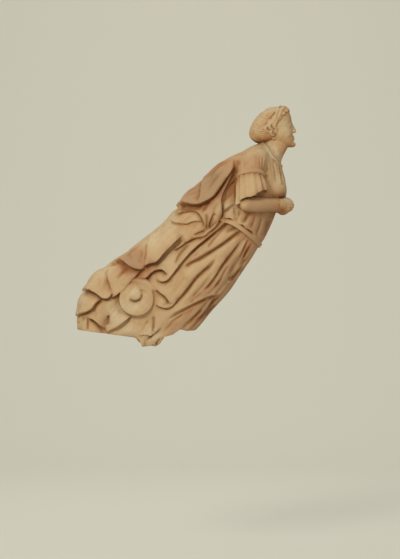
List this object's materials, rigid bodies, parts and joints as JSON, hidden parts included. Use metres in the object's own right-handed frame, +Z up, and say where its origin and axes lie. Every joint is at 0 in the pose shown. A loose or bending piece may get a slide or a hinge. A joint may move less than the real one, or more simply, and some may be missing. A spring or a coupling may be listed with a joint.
{
  "type": "ship figurehead",
  "caption": "Carved wooden ship figurehead: a woman leaning forward with clasped hands, in a belted dress and swirling cloak over a scroll.",
  "frame": {"origin": "middle of the flat seat on the underside, where the figurehead is bolted on the stem", "axes": "+X the ship's way ahead, the way she faces; +Z up; Y across the ship, her right side towards -Y; the middle plane is Y = 0"},
  "size_m": [1.1461, 0.5082, 1.2488],
  "materials": {
    "carved_wood": "bare carved pine, worn and gone tan, matt"
  },
  "bodies": {
    "root": {"figurehead": "carved_wood"}
  },
  "joints": []
}
